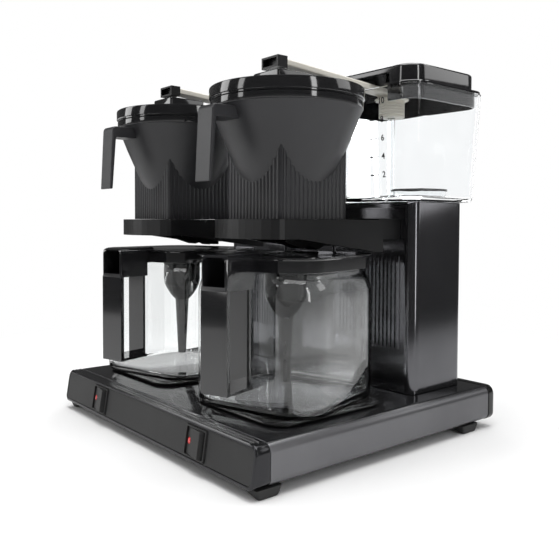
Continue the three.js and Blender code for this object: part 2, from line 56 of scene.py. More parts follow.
RIB_COUNT = 15
ROOM_GLOW = 0.09


# ------------------------------------------------------------------ materials
def new_material(name):
    """A node material, with its parts that every recipe below starts from."""
    mat = bpy.data.materials.new(name)
    mat.use_nodes = True
    nodes, links = mat.node_tree.nodes, mat.node_tree.links
    shader = nodes["Principled BSDF"]
    coords = nodes.new("ShaderNodeTexCoord")
    return mat, nodes, links, shader, coords


def noise(nodes, links, coords, scale, detail=4.0, stretch=(1, 1, 1)):
    mapping = nodes.new("ShaderNodeMapping")
    mapping.inputs["Scale"].default_value = stretch
    links.new(coords.outputs["Object"], mapping.inputs["Vector"])
    tex = nodes.new("ShaderNodeTexNoise")
    tex.inputs["Scale"].default_value = scale
    tex.inputs["Detail"].default_value = detail
    links.new(mapping.outputs["Vector"], tex.inputs["Vector"])
    return tex


def colour_ramp(nodes, links, source, dark, light, low=0.35, high=0.65):
    ramp = nodes.new("ShaderNodeValToRGB")
    ramp.color_ramp.elements[0].position = low
    ramp.color_ramp.elements[1].position = high
    ramp.color_ramp.elements[0].color = (*dark, 1)
    ramp.color_ramp.elements[1].color = (*light, 1)
    links.new(source, ramp.inputs["Fac"])
    return ramp


def map_range(nodes, links, source, low, high):
    node = nodes.new("ShaderNodeMapRange")
    node.inputs["From Min"].default_value = 0.3
    node.inputs["From Max"].default_value = 0.7
    node.inputs["To Min"].default_value = low
    node.inputs["To Max"].default_value = high
    links.new(source, node.inputs["Value"])
    return node


def surface(name, dark, light, rough, grain, bump, metallic=0.0, coat=0.0, stretch=(1, 1, 1), specular=0.5):
    """Broad colour and roughness variation with a fine bump on top."""
    mat, nodes, links, shader, coords = new_material(name)
    broad = noise(nodes, links, coords, 14.0, 5.0)
    fine = noise(nodes, links, coords, grain, 3.0, stretch)
    ramp = colour_ramp(nodes, links, broad.outputs["Fac"], dark, light)
    links.new(ramp.outputs["Color"], shader.inputs["Base Color"])
    spread = map_range(nodes, links, fine.outputs["Fac"], rough[0], rough[1])
    links.new(spread.outputs["Result"], shader.inputs["Roughness"])
    relief = nodes.new("ShaderNodeBump")
    relief.inputs["Strength"].default_value = bump
    relief.inputs["Distance"].default_value = 0.0002
    links.new(fine.outputs["Fac"], relief.inputs["Height"])
    links.new(relief.outputs["Normal"], shader.inputs["Normal"])
    shader.inputs["Metallic"].default_value = metallic
    shader.inputs["Coat Weight"].default_value = coat
    shader.inputs["Coat Roughness"].default_value = 0.04
    shader.inputs["Specular IOR Level"].default_value = specular
    return mat


def clear(name, tint, ior, rough):
    """Clear plastic or glass with a faint waviness."""
    mat, nodes, links, shader, coords = new_material(name)
    broad = noise(nodes, links, coords, 22.0, 2.0)
    ramp = colour_ramp(nodes, links, broad.outputs["Fac"], tint, tuple(min(1.0, v + 0.02) for v in tint))
    links.new(ramp.outputs["Color"], shader.inputs["Base Color"])
    spread = map_range(nodes, links, broad.outputs["Fac"], rough, rough + 0.015)
    links.new(spread.outputs["Result"], shader.inputs["Roughness"])
    relief = nodes.new("ShaderNodeBump")
    relief.inputs["Strength"].default_value = 0.02
    relief.inputs["Distance"].default_value = 0.0004
    links.new(broad.outputs["Fac"], relief.inputs["Height"])
    links.new(relief.outputs["Normal"], shader.inputs["Normal"])
    shader.inputs["Transmission Weight"].default_value = 1.0
    shader.inputs["Specular IOR Level"].default_value = 0.4
    shader.inputs["IOR"].default_value = ior
    return mat


def base_paint():
    """Gloss black on the upward faces, satin grey metallic on the sides."""
    mat, nodes, links, shader, coords = new_material("base_paint")
    geometry = nodes.new("ShaderNodeNewGeometry")
    split = nodes.new("ShaderNodeSeparateXYZ")
    links.new(geometry.outputs["Normal"], split.inputs["Vector"])
    fine = noise(nodes, links, coords, 2600.0, 2.0)
    broad = noise(nodes, links, coords, 9.0, 4.0)
    side = colour_ramp(nodes, links, broad.outputs["Fac"], (0.125, 0.125, 0.132), (0.16, 0.16, 0.168))
    top = colour_ramp(nodes, links, broad.outputs["Fac"], (0.010, 0.010, 0.011), (0.016, 0.016, 0.017))
    mask = nodes.new("ShaderNodeMapRange")
    mask.inputs["From Min"].default_value = 0.7
    mask.inputs["From Max"].default_value = 0.95
    links.new(split.outputs["Z"], mask.inputs["Value"])
    mix = nodes.new("ShaderNodeMix")
    mix.data_type = "RGBA"
    links.new(mask.outputs["Result"], mix.inputs["Factor"])
    links.new(side.outputs["Color"], mix.inputs["A"])
    links.new(top.outputs["Color"], mix.inputs["B"])
    links.new(mix.outputs["Result"], shader.inputs["Base Color"])
    rough = nodes.new("ShaderNodeMapRange")
    rough.inputs["To Min"].default_value = 0.36
    rough.inputs["To Max"].default_value = 0.09
    links.new(mask.outputs["Result"], rough.inputs["Value"])
    links.new(rough.outputs["Result"], shader.inputs["Roughness"])
    metal = nodes.new("ShaderNodeMapRange")
    metal.inputs["To Min"].default_value = 0.75
    metal.inputs["To Max"].default_value = 0.0
    links.new(mask.outputs["Result"], metal.inputs["Value"])
    links.new(metal.outputs["Result"], shader.inputs["Metallic"])
    relief = nodes.new("ShaderNodeBump")
    relief.inputs["Strength"].default_value = 0.04
    relief.inputs["Distance"].default_value = 0.0001
    links.new(fine.outputs["Fac"], relief.inputs["Height"])
    links.new(relief.outputs["Normal"], shader.inputs["Normal"])
    return mat


def lamp_red():
    mat = surface("lamp_red", (0.35, 0.004, 0.006), (0.6, 0.012, 0.012), (0.12, 0.2), 900.0, 0.1, coat=0.4)
    shader = mat.node_tree.nodes["Principled BSDF"]
    shader.inputs["Emission Color"].default_value = (1.0, 0.03, 0.02, 1)
    shader.inputs["Emission Strength"].default_value = 0.15
    return mat


MATS = {
    "base_metal": base_paint(),
    "cap_black": surface("cap_gloss", (0.026, 0.026, 0.028), (0.036, 0.036, 0.039), (0.16, 0.24),
                         1500.0, 0.06, metallic=0.7),
    "cap_rear": surface("cap_rear_gloss", (0.005, 0.005, 0.005), (0.008, 0.008, 0.008), (0.18, 0.28),
                        1500.0, 0.08, specular=0.3),
    "panel": surface("panel_matte", (0.024, 0.024, 0.024), (0.031, 0.031, 0.031), (0.5, 0.62),
                     2400.0, 0.3, specular=0.3),
    "tower": surface("tower_satin", (0.10, 0.10, 0.107), (0.125, 0.125, 0.133), (0.11, 0.16), 1800.0, 0.04,
                     metallic=0.9),
    "plate": surface("plate_coating", (0.008, 0.008, 0.008), (0.014, 0.014, 0.014), (0.14, 0.26),
                     1100.0, 0.12),
    "bright_metal": surface("bright_metal", (0.55, 0.55, 0.56), (0.72, 0.72, 0.73), (0.25, 0.4), 700.0, 0.15,
                            metallic=1.0, stretch=(1, 12, 1)),
    "clear_tank": clear("tank_acrylic", (0.965, 0.975, 0.98), 1.2, 0.0),
    "clear_glass": clear("carafe_glass", (0.965, 0.975, 0.975), 1.45, 0.0),
    "lid_black": surface("lid_gloss", (0.008, 0.008, 0.009), (0.013, 0.013, 0.014), (0.06, 0.11), 500.0, 0.03,
                         coat=0.5),
    "basket": surface("basket_moulded", (0.015, 0.015, 0.017), (0.023, 0.023, 0.026), (0.36, 0.48),
                      1700.0, 0.3),
    "holder": surface("holder_satin", (0.006, 0.006, 0.0065), (0.010, 0.010, 0.0105), (0.3, 0.42),
                      1500.0, 0.2, specular=0.3),
    "cream": surface("cream_plastic", (0.74, 0.71, 0.63), (0.82, 0.79, 0.71), (0.35, 0.45), 900.0, 0.1),
    "lamp": lamp_red(),
    "rubber": surface("rubber_black", (0.012, 0.012, 0.012), (0.022, 0.022, 0.022), (0.6, 0.75), 1300.0, 0.4),
    "inner_black": surface("inner_satin", (0.008, 0.008, 0.008), (0.013, 0.013, 0.013), (0.18, 0.28),
                           1200.0, 0.12, specular=0.35),
    "gasket": surface("gasket_grey", (0.03, 0.03, 0.03), (0.05, 0.05, 0.05), (0.3, 0.45), 900.0, 0.15),
    "scale_ink": surface("scale_ink", (0.02, 0.02, 0.02), (0.035, 0.035, 0.035), (0.6, 0.7), 1200.0, 0.1,
                         specular=0.1),
}


# ------------------------------------------------------------------ mesh building
def finish_piece(obj, mat, body, stands_for=(), bevel=0.0, smooth=32, segments=3):
    """Gives a new piece its material, edges and body, and hides the CAD nodes that it stands for."""
    obj.data.materials.clear()
    obj.data.materials.append(MATS[mat])
    if bevel:
        mod = obj.modifiers.new("edges", "BEVEL")
        mod.width = bevel * MM
        mod.segments = segments
        mod.limit_method = "ANGLE"
        mod.angle_limit = math.radians(38)
        mod.harden_normals = False
        mod.miter_outer = "MITER_ARC"
    for polygon in obj.data.polygons:
        polygon.use_smooth = True
    obj.data.set_sharp_from_angle(angle=math.radians(smooth))
    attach(obj, body)
    if stands_for:
        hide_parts(*stands_for)
    return obj


def raw_object(name, verts, faces):
    mesh = bpy.data.meshes.new(name)
    mesh.from_pydata([tuple(c * MM for c in v) for v in verts], [], faces)
    mesh.validate()
    build = bmesh.new()
    build.from_mesh(mesh)
    bmesh.ops.recalc_face_normals(build, faces=build.faces)
    build.to_mesh(mesh)
    build.free()
    mesh.update()
    obj = bpy.data.objects.new(name, mesh)
    bpy.context.scene.collection.objects.link(obj)
    return obj


def rounded(x0, x1, y0, y1, radius, steps=10):
    points = []
    corners = ((x1 - radius, y1 - radius, 0), (x0 + radius, y1 - radius, 1),
               (x0 + radius, y0 + radius, 2), (x1 - radius, y0 + radius, 3))
    for cx, cy, turn in corners:
        for k in range(steps + 1):
            angle = (turn + k / steps) * math.pi / 2
            points.append((cx + radius * math.cos(angle), cy + radius * math.sin(angle)))
    return points


def ring_at(x0, x1, y0, y1, radius, z, steps=10):
    return [(x, y, z) for x, y in rounded(x0, x1, y0, y1, radius, steps)]


def square_ring(half, radius, z, x=0.0, y=0.0, steps=10):
    return ring_at(x - half, x + half, y - half, y + half, radius, z, steps)


def loft(name, rings, closed=False):
    """Skins rings of equal length; closed joins the last ring back to the first."""
    count = len(rings[0])
    verts = [p for ring in rings for p in ring]
    faces = []
    spans = len(rings) if closed else len(rings) - 1
    for k in range(spans):
        low, high = k * count, ((k + 1) % len(rings)) * count
        for i in range(count):
            j = (i + 1) % count
            faces.append((low + i, low + j, high + j, high + i))
    if not closed:
        faces.append(tuple(reversed(range(count))))
        faces.append(tuple(range((len(rings) - 1) * count, len(rings) * count)))
    return raw_object(name, verts, faces)


def lathe(name, profile, x, y, segments=72, closed=False):
    """Turns a profile of (radius, z) about the vertical through x, y; radius 0 makes a pole."""
    verts, rows = [], []
    for r, z in profile:
        if r <= 1e-6:
            rows.append([len(verts)] * segments)
            verts.append((x, y, z))
            continue
        rows.append([len(verts) + k for k in range(segments)])
        for k in range(segments):
            angle = 2 * math.pi * k / segments
            verts.append((x + r * math.cos(angle), y + r * math.sin(angle), z))
    faces = []
    pairs = list(zip(rows, rows[1:])) + ([(rows[-1], rows[0])] if closed else [])
    for low, high in pairs:
        for k in range(segments):
            j = (k + 1) % segments
            face = []
            for v in (low[k], low[j], high[j], high[k]):
                if v not in face:
                    face.append(v)
            if len(face) > 2:
                faces.append(tuple(face))
    return raw_object(name, verts, faces)


def extrude_x(name, outline, x0, x1):
    count = len(outline)
    verts = [(x0, y, z) for y, z in outline] + [(x1, y, z) for y, z in outline]
    faces = [tuple(reversed(range(count))), tuple(range(count, 2 * count))]
    for i in range(count):
        j = (i + 1) % count
        faces.append((i, j, count + j, count + i))
    return raw_object(name, verts, faces)


def block(name, x0, x1, y0, y1, z0, z1):
    return loft(name, [[(x0, y0, z), (x1, y0, z), (x1, y1, z), (x0, y1, z)] for z in (z0, z1)])


def combine(obj, other, operation):
    """Applies a boolean with other, which is used up."""
    mod = obj.modifiers.new("cut", "BOOLEAN")
    mod.operation = operation
    mod.solver = "EXACT"
    mod.object = other
    depsgraph = bpy.context.evaluated_depsgraph_get()
    mesh = bpy.data.meshes.new_from_object(obj.evaluated_get(depsgraph))
    obj.modifiers.clear()
    old = obj.data
    obj.data = mesh
    bpy.data.meshes.remove(old)
    bpy.data.objects.remove(other)
    return obj


def cut(obj, other):
    return combine(obj, other, "DIFFERENCE")


def join(obj, other):
    return combine(obj, other, "UNION")


def place(obj, matrix):
    obj.data.transform(matrix)
    return obj


def turn_about(axis, angle, point):
    centre = Matrix.Translation(Vector(point) * MM)
    return centre @ Matrix.Rotation(angle, 4, axis) @ centre.inverted()


def keep_cad(node, mat, bevel=0.0, smooth=32):
    """A CAD node whose shape is right stays and takes a better material."""
    obj = NODES[node]
    obj.data.materials.clear()
    obj.data.materials.append(MATS[mat])
    if bevel:
        mod = obj.modifiers.new("edges", "BEVEL")
        mod.width = bevel * MM
        mod.segments = 3
        mod.limit_method = "ANGLE"
        mod.angle_limit = math.radians(38)
    for polygon in obj.data.polygons:
        polygon.use_smooth = True
    obj.data.set_sharp_from_angle(angle=math.radians(smooth))


# ------------------------------------------------------------------ shared base
def face_y(z):
    return FACE_LOW_Y + (z - BASE_LOW_Z) * FACE_LEAN


def base_ring(inset, y_of, steps=10):
    x, top, low = BASE_HALF_X - inset, BASE_TOP_Z - inset, BASE_LOW_Z + inset
    rt, rl = max(8.5 - inset, 1.5), max(7 - inset, 1.5)
    points = []
    corners = ((x - rt, top - rt, rt, 0), (-x + rt, top - rt, rt, 1),
               (-x + rl, low + rl, rl, 2), (x - rl, low + rl, rl, 3))
    for cx, cz, r, turn in corners:
        for k in range(steps + 1):
            angle = (turn + k / steps) * math.pi / 2
            px, pz = cx + r * math.cos(angle), cz + r * math.sin(angle)
            points.append((px, y_of(pz), pz))
    return points[::-1]


def switch_opening(x):
    y = face_y(SWITCH_Z)
    tool = block("tool", x - 16, x + 16, y - 4, y + 22, SWITCH_Z - 13.7, SWITCH_Z + 13.7)
    return place(tool, turn_about("X", -LEAN_ANGLE, (x, y, SWITCH_Z)))


def build_base():
    front, rear = HOUSING_FRONT_Y, HOUSING_REAR_Y
    rings = [base_ring(0.8, lambda z: front), base_ring(0.25, lambda z: front + 0.25),
             base_ring(0, lambda z: front + 0.9), base_ring(0, lambda z: rear - 0.3),
             base_ring(0.25, lambda z: rear),
             base_ring(2.2, lambda z: rear), base_ring(2.2, lambda z: front)]
    housing = loft("base_housing_shell", rings, closed=True)
    housing = cut(housing, block("tool", -158, 158, -132, 140, 5, 12))
    finish_piece(housing, "base_metal", "brewer_body", ["base_housing"])

    rings = [base_ring(2.2, face_y), base_ring(1.4, lambda z: face_y(z) + 0.1),
             base_ring(0.7, lambda z: face_y(z) + 0.4), base_ring(0.2, lambda z: face_y(z) + 1.0),
             base_ring(0, lambda z: face_y(z) + 1.9), base_ring(0, lambda z: -144.1),
             base_ring(0.25, lambda z: -143.45), base_ring(0.8, lambda z: -143.2)]
    cap = loft("front_end_cap_moulding", rings)
    cap = cut(cap, loft("tool", [base_ring(3.2, lambda z: face_y(z) + 5), base_ring(3.2, lambda z: -141)]))
    recess = [base_ring(3.0, lambda z: face_y(z) - 2), base_ring(3.0, lambda z: face_y(z) + 1.8)]
    cap = cut(cap, loft("tool", recess))
    panel = loft("control_panel_insert", [base_ring(3.5, lambda z: face_y(z) + 0.3),
                                          base_ring(3.3, lambda z: face_y(z) + 0.5),
                                          base_ring(3.3, lambda z: face_y(z) + 1.5)])
    for _, x in UNITS:
        cap = cut(cap, switch_opening(x + SWITCH_X))
        panel = cut(panel, switch_opening(x + SWITCH_X))
    finish_piece(cap, "cap_black", "brewer_body", ["front_end_cap"])
    finish_piece(panel, "panel", "brewer_body", ["control_panel"])
    build_cap_ridges()

    rings = [base_ring(inset, lambda z, y=y: y) for inset, y in
             ((-0.3, 151.5), (-0.5, 151.8), (-0.5, 158.6), (-0.1, 160.2), (0.9, 161.2), (2.2, 161.5))]
    rear_cap = loft("rear_end_cap_moulding", rings)
    rear_cap = cut(rear_cap, loft("tool", [base_ring(3, lambda z: 150), base_ring(3, lambda z: 158.5)]))
    hole = lathe("tool", [(0, 150), (6.4, 150), (6.4, 170), (0, 170)], 0, -26, 32)
    rear_cap = cut(rear_cap, place(hole, turn_about("X", -math.pi / 2, (0, 0, 0))))
    finish_piece(rear_cap, "cap_rear", "brewer_body", ["rear_end_cap"])
    keep_cad("base_bottom_plate", "bright_metal", 0.3)
    keep_cad("cord_gland", "rubber", 0.3)
    for corner in ("front_left", "front_right", "rear_left", "rear_right"):
        keep_cad(f"foot_{corner}", "rubber", 0.5)


def build_cap_ridges():
    """Three fine raised lines that run along the top of the front cap."""
    for index, y in enumerate((-155.6, -151.4, -147.2)):
        outline = [(y - 1.1, 43.2), (y - 0.95, 43.65), (y - 0.55, 43.95), (y, 44.05), (y + 0.55, 43.95),
                   (y + 0.95, 43.65), (y + 1.1, 43.2)]
        ridge = extrude_x(f"cap_ridge_{index}", outline, -170.5, 170.5)
        finish_piece(ridge, "lid_black", "brewer_body", smooth=50)


# ------------------------------------------------------------------ rocker switch
def build_switch(side, x):
    keep_cad(f"{side}_rocker_bezel", "panel", 0.4)
    keep_cad(f"{side}_rocker_switch", "panel", 0.5)
    y = face_y(SWITCH_Z)
    profile = [(0, -3.0), (1.2, -2.95), (2.1, -2.8), (2.6, -2.55), (2.8, -2.2), (2.8, 0.7), (0, 0.7)]
    lamp = lathe(f"{side}_lamp_lens", profile, 0, 0, 32)
    centre = Matrix.Translation(Vector((x + SWITCH_X + LAMP_OFFSET_X, y, SWITCH_Z)) * MM)
    place(lamp, centre @ Matrix.Rotation(-math.pi / 2, 4, "X"))
    pivot = (x + SWITCH_X, y + 5.5, SWITCH_Z)
    place(lamp, turn_about("Z", SWITCH_TILT, pivot))
    place(lamp, turn_about("X", -LEAN_ANGLE, (x + SWITCH_X, y, SWITCH_Z)))
    finish_piece(lamp, "lamp", f"{side}_switch", [f"{side}_indicator_lamp"], smooth=50)


# ------------------------------------------------------------------ hot plate
def build_hot_plate(side, x):
    steps = ((-4, 43.8), (-4, 44.9), (-3.4, 45.2), (-0.9, 45.35), (-0.3, 45.55), (0, 45.9), (0, 46.8),
             (-0.25, 47.15), (-0.7, 47.3), (-3.2, 47.3), (-3.8, 47.1), (-4.5, 46.5), (-5.0, 46.4),
             (-7.4, 46.4), (-7.9, 46.5),
             (-8.6, 47.2), (-9.2, 47.4), (-30, 47.4))
    rings = [square_ring(66.5 + grow, max(20 + grow, 8), z, x, -54, 12) for grow, z in steps]
    finish_piece(loft(f"{side}_hot_plate_disc", rings), "plate", "brewer_body", [f"{side}_hot_plate"])
    keep_cad(f"{side}_heating_element", "bright_metal", 0.3)


# ------------------------------------------------------------------ tower
def build_tower(side, x):
    def ring(inset, z):
        return ring_at(x - 61 + inset, x + 61 - inset, 56.5 + inset, 138.5 - inset, 10.5 - inset, z, 12)

    shell = loft(f"{side}_tower_housing", [ring(0.4, 43.9), ring(0, 44.4), ring(0, 236.2), ring(0.4, 237.0),
                                           ring(1.2, 237.4)])
    shell = cut(shell, loft("tool", [ring(1.6, 40), ring(1.6, 235.4)]))
    shell = cut(shell, block("tool", x - 49, x + 49, 53, 60.5, 52, 230))
    shell = cut(shell, lathe("tool", [(0, 230), (5.2, 230), (5.2, 240), (0, 240)], x, RISER_Y, 32))
    finish_piece(shell, "tower", "brewer_body", [f"{side}_tower_shell"])
    keep_cad(f"{side}_tower_front_panel", "tower", 0.25)
    keep_cad(f"{side}_boiler", "bright_metal", 0.3, 40)


# ------------------------------------------------------------------ water tank and lid
def tank_front(t):
    """Front wall of the tank at a share t of its height."""
    return TANK_FRONT_Y - TANK_SPREAD * t


def tank_ring(x, t, inset, steps=12):
    """The tank widens upwards; t runs from 0 at its floor to 1 at its rim."""
    half = 66.5 + TANK_SPREAD * t - inset
    front, rear = tank_front(t) + inset, 156.5 + 5 * t - inset
    radius = max(17 + 5 * t - inset, 3)
    return ring_at(x - half, x + half, front, rear, radius, TANK_LOW_Z + TANK_RISE * t, steps)


def build_tank(side, x):
    base = [(px, py, TANK_LOW_Z) for px, py, _ in tank_ring(x, 0, 3.5)]
    outer = [base, tank_ring(x, 0.004, 2.1), tank_ring(x, 0.012, 0.9), tank_ring(x, 0.028, 0.2),
             tank_ring(x, 0.045, 0), tank_ring(x, 0.994, 0), tank_ring(x, 1.0, 0.5)]
    inner = [tank_ring(x, t, inset) for t, inset in
             ((1.0, 2.1), (0.994, 2.6), (0.07, 2.6), (0.048, 3.2), (0.036, 4.6), (0.033, 7))]
    tank = loft(f"{side}_tank_wall", outer + inner)
    tank = cut(tank, lathe("tool", [(0, 230), (4.5, 230), (4.5, 250), (0, 250)], x, RISER_Y, 32))
    finish_piece(tank, "clear_tank", "brewer_body", [f"{side}_water_tank"], smooth=28)
    profile = [(25.5, 241.5), (28.5, 241.5), (28.2, 249), (25.8, 249)]
    wall = lathe(f"{side}_tank_well", profile, x + WELL_X, WELL_Y, 64, True)
    finish_piece(wall, "clear_tank", "brewer_body", smooth=40)
    profile = [(24.6, 249.0), (29.4, 249.0), (29.8, 249.5), (29.6, 250.9), (29.0, 251.3), (25.0, 251.3),
               (24.4, 250.8)]
    gasket = lathe(f"{side}_tank_well_gasket", profile, x + WELL_X, WELL_Y, 64, True)
    finish_piece(gasket, "gasket", "brewer_body", smooth=40)
    build_scale(side, x)


def build_mark(name, letters, x, z, size, tilt):
    curve = bpy.data.curves.new(name, "FONT")
    curve.body = letters
    curve.size = size * MM
    curve.align_x = "CENTER"
    curve.align_y = "CENTER"
    curve.extrude = 0.0001
    curve.offset = 0.00012
    text = bpy.data.objects.new(name, curve)
    bpy.context.scene.collection.objects.link(text)
    y = tank_front((z - TANK_LOW_Z) / TANK_RISE)
    text.matrix_world = (Matrix.Translation(Vector((x, y - 0.15, z)) * MM)
                         @ Matrix.Rotation(math.pi / 2 + tilt, 4, "X"))
    curve.materials.append(MATS["scale_ink"])
    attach(text, "brewer_body")


def build_scale(side, x):
    """Cup numbers and level ticks on the front wall of the tank."""
    tilt = math.atan(TANK_SPREAD / TANK_RISE)
    for number in (2, 4, 6, 8, 10):
        z = SCALE_LOW_Z + (number - 2) * SCALE_STEP / 2
        build_mark(f"{side}_scale_{number}", str(number), x + 32, z, 8.5, tilt)
    for step in range(5):
        z = SCALE_LOW_Z + step * SCALE_STEP
        y = tank_front((z - TANK_LOW_Z) / TANK_RISE)
        tick = block(f"{side}_tick_{step}", x + 13.5, x + 25, y - 0.55, y - 0.25, z - 0.6, z + 0.6)
        finish_piece(tick, "scale_ink", "brewer_body")
    for step, part in enumerate(("\u00bc", "\u00bd", "\u00be", "1")):
        build_mark(f"{side}_share_{step}", part, x - 2, SCALE_LOW_Z + step * SCALE_STEP, 6.5, tilt)


def build_tank_lid(side, x):
    def ring(inset, z):
        return ring_at(x - 66 + inset, x + 66 - inset, 47.5 + inset, 156 - inset, 20 - inset, z, 12)

    def flange(inset, z):
        return ring_at(x - 74 + inset, x + 74 - inset, 39.5 + inset, 161 - inset, 22 - inset, z, 12)

    def skirt(inset, z):
        return ring_at(x - 69 + inset, x + 69 - inset, 45.2 + inset, 154.8 - inset, 18 - inset, z, 12)

    rings = [skirt(1.4, 337), skirt(0.5, 337.2), skirt(0, 337.9), skirt(0, 351.3),
             flange(0.3, 351.3), flange(0, 351.6), flange(0, 353.0), flange(0.5, 353.5),
             flange(1.2, 353.6), ring(-0.6, 353.6), ring(0, 354.2),
             ring(0, 369.6), ring(0.3, 370.7), ring(1.0, 371.5), ring(2.0, 372), ring(3.2, 372)]
    lid = loft(f"{side}_tank_cover", rings)
    lid = cut(lid, loft("tool", [skirt(2.2, 330), skirt(2.2, 350)]))
    lid = cut(lid, loft("tool", [ring(2.4, 349), ring(2.4, 369.6)]))
    lid = cut(lid, block("tool", x - 36, x + 36, 30, 62, 330, 366.3))
    finish_piece(lid, "lid_black", f"{side}_lid", [f"{side}_tank_lid"])


# ------------------------------------------------------------------ water path
def build_water_path(side, x):
    tube = lathe(f"{side}_riser_pipe", [(2.8, 238.3), (4, 238.3), (4, 346), (2.8, 346)], x, RISER_Y, 40, True)
    finish_piece(tube, "clear_tank", "brewer_body", [f"{side}_riser_tube"])
    profile = [(4.4, 328)]
    for k in range(6):
        z = 328 + k * 3.0
        profile += [(12.3, z), (13.3, z + 0.35), (13.5, z + 1.0), (13.5, z + 1.7), (13.3, z + 2.3),
                    (12.3, z + 2.65)]
    profile += [(12.3, 346), (17.4, 346.4), (18, 346.9), (18, 347.7), (17.5, 348.2), (4.4, 348.2)]
    collar = lathe(f"{side}_riser_boss", profile, x, RISER_Y, 64, True)
    finish_piece(collar, "cream", "brewer_body", [f"{side}_riser_collar"], smooth=25)

    def low(y):
        return 356.4 - 0.07 * y

    outline = [(-65.2, low(-65.2)), (78, low(78)), (80, 348.5), (104, 348.5), (104, 353),
               (100, low(100) + 6.1), (-65.2, low(-65.2) + 6.1)]
    arm = extrude_x(f"{side}_arm_bar", outline, x - 8.5, x + 8.5)
    finish_piece(arm, "cream", f"{side}_arm", [f"{side}_outlet_arm"], bevel=1.4, segments=5)
    keep_cad(f"{side}_arm_end_cap", "holder", 1.8)


# ------------------------------------------------------------------ brew basket
CONE = ((14, 229), (30, 240), (40.5, 253), (48, 265.5), (61.6, 296.4), (70.6, 319.4))


def cone_height(radius):
    for (r0, z0), (r1, z1) in zip(CONE, CONE[1:]):
        if radius <= r1:
            return z0 + (z1 - z0) * (radius - r0) / (r1 - r0)
    return CONE[-1][1]


def ribbed_square(half, x):
    """Square outline with rounded ribs on each side."""
    points, flat = [], half - 2.6
    shape = ((0.08, 1.0), (0.2, 0.35), (0.36, 0.05), (0.5, 0.0), (0.64, 0.05), (0.8, 0.35), (0.92, 1.0))
    for turn in range(4):
        c, s = (1, 0, -1, 0)[turn], (0, 1, 0, -1)[turn]
        side = []
        for k in range(RIB_COUNT):
            for at, depth in shape:
                side.append((half - depth, -flat + 2 * flat * (k + at) / RIB_COUNT))
        side += [(half - 0.3, half - 2.2), (half - 0.9, half - 0.9), (half - 2.2, half - 0.3)]
        points += [(x + u * c - v * s, AXIS_Y + u * s + v * c) for u, v in side]
    return points


def build_basket(side, x):
    ribs = ribbed_square(40.4, x)
    outer_low = [(px, py, 218.8) for px, py in ribs]
    outer_high = []
    inner_high = []
    inner_low = []
    for px, py in ribs:
        dx, dy = px - x, py - AXIS_Y
        radius = math.hypot(dx, dy)
        outer_high.append((px, py, cone_height(radius) + 0.5))
        k = 37.0 / max(abs(dx), abs(dy))
        ix, iy = x + dx * k, AXIS_Y + dy * k
        inner_high.append((ix, iy, cone_height(math.hypot(dx * k, dy * k)) + 0.5))
        inner_low.append((ix, iy, 218.8))
    skirt = loft(f"{side}_basket_skirt", [inner_low, outer_low, outer_high, inner_high], closed=True)
    finish_piece(skirt, "basket", f"{side}_basket", smooth=50)

    profile = [(3.4, 219.6), (7, 219.6), (7, 229.4), (14, 229.2), (17, 230.4), (30, 240), (36, 246.6),
               (40.5, 253), (44.6, 259.2), (48, 265.5), (61.6, 296.4), (70.2, 318.4), (70.9, 319.6),
               (71.4, 320.2), (71.4, 326.7), (71.0, 327.2), (69.0, 327.2), (68.6, 326.8), (68.4, 320.6),
               (59.2, 297.4), (45.6, 267), (38, 254.4), (28, 242.4), (12, 231.6), (3.4, 231.6)]
    funnel = lathe(f"{side}_basket_funnel", profile, x, AXIS_Y, 96, True)
    finish_piece(funnel, "basket", f"{side}_basket", [f"{side}_brew_basket"], smooth=26)
    band = [(71.2, 320.7), (71.7, 320.9), (71.9, 321.4), (71.9, 326.6), (71.6, 327.1), (71.2, 327.2)]
    rim = lathe(f"{side}_basket_rim_band", band, x, AXIS_Y, 120, True)
    finish_piece(rim, "lid_black", f"{side}_basket", smooth=28)
    hook = [(-112, 305.6), (-141.8, 305.6), (-143.0, 305.2), (-143.6, 304.2), (-147.6, 250.6),
            (-150.8, 250.4), (-147.7, 312.4), (-147.0, 314.8), (-145.4, 316.3),
            (-143.2, 316.7), (-117.5, 316.7)]
    handle = extrude_x(f"{side}_basket_grip", hook, x - 11.5, x + 11.5)
    finish_piece(handle, "basket", f"{side}_basket", bevel=1.0, segments=4)


def build_basket_lid(side, x):
    profile = [(0, 336.0), (67, 335.8), (69.4, 333), (69.6, 328.0), (69.9, 327.6), (71.4, 327.6),
               (71.8, 327.9), (71.8, 329.0), (72.2, 329.4), (73, 329.7), (73, 338.0), (72.7, 338.8),
               (72.0, 339.3), (71.0, 339.45), (69.4, 338.9), (67.6, 338.9), (60, 339.5), (0, 340.4)]
    lid = lathe(f"{side}_basket_cover_disc", profile, x, AXIS_Y, 120)
    rings = [ring_at(x - 19 + i, x + 19 - i, -82 + i, -38 - i, 2.2, z, 6)
             for i, z in ((0, 338), (0, 352.9), (0.3, 353.7), (0.9, 354.2), (1.7, 354.4))]
    lid = join(lid, loft("tool", rings))
    lid = cut(lid, block("tool", x - 16.6, x + 16.6, -79.6, -40.4, 333, 352))
    lid = cut(lid, lathe("tool", [(0, 350), (6, 350), (6, 356), (0, 356)], x, -60, 32))
    finish_piece(lid, "lid_black", f"{side}_basket_cover", [f"{side}_basket_lid"], smooth=28)


# ------------------------------------------------------------------ holder
def build_holder(side):
    keep_cad(f"{side}_basket_holder", "holder", 0.7)
    keep_cad(f"{side}_holder_bracket", "holder", 1.2)
    keep_cad(f"{side}_drip_stop_lever", "holder", 0.5)


# ------------------------------------------------------------------ carafe
def carafe_place(x):
    return (Matrix.Translation(Vector((x, AXIS_Y, 0)) * MM) @ Matrix.Rotation(CARAFE_TURN, 4, "Z"))


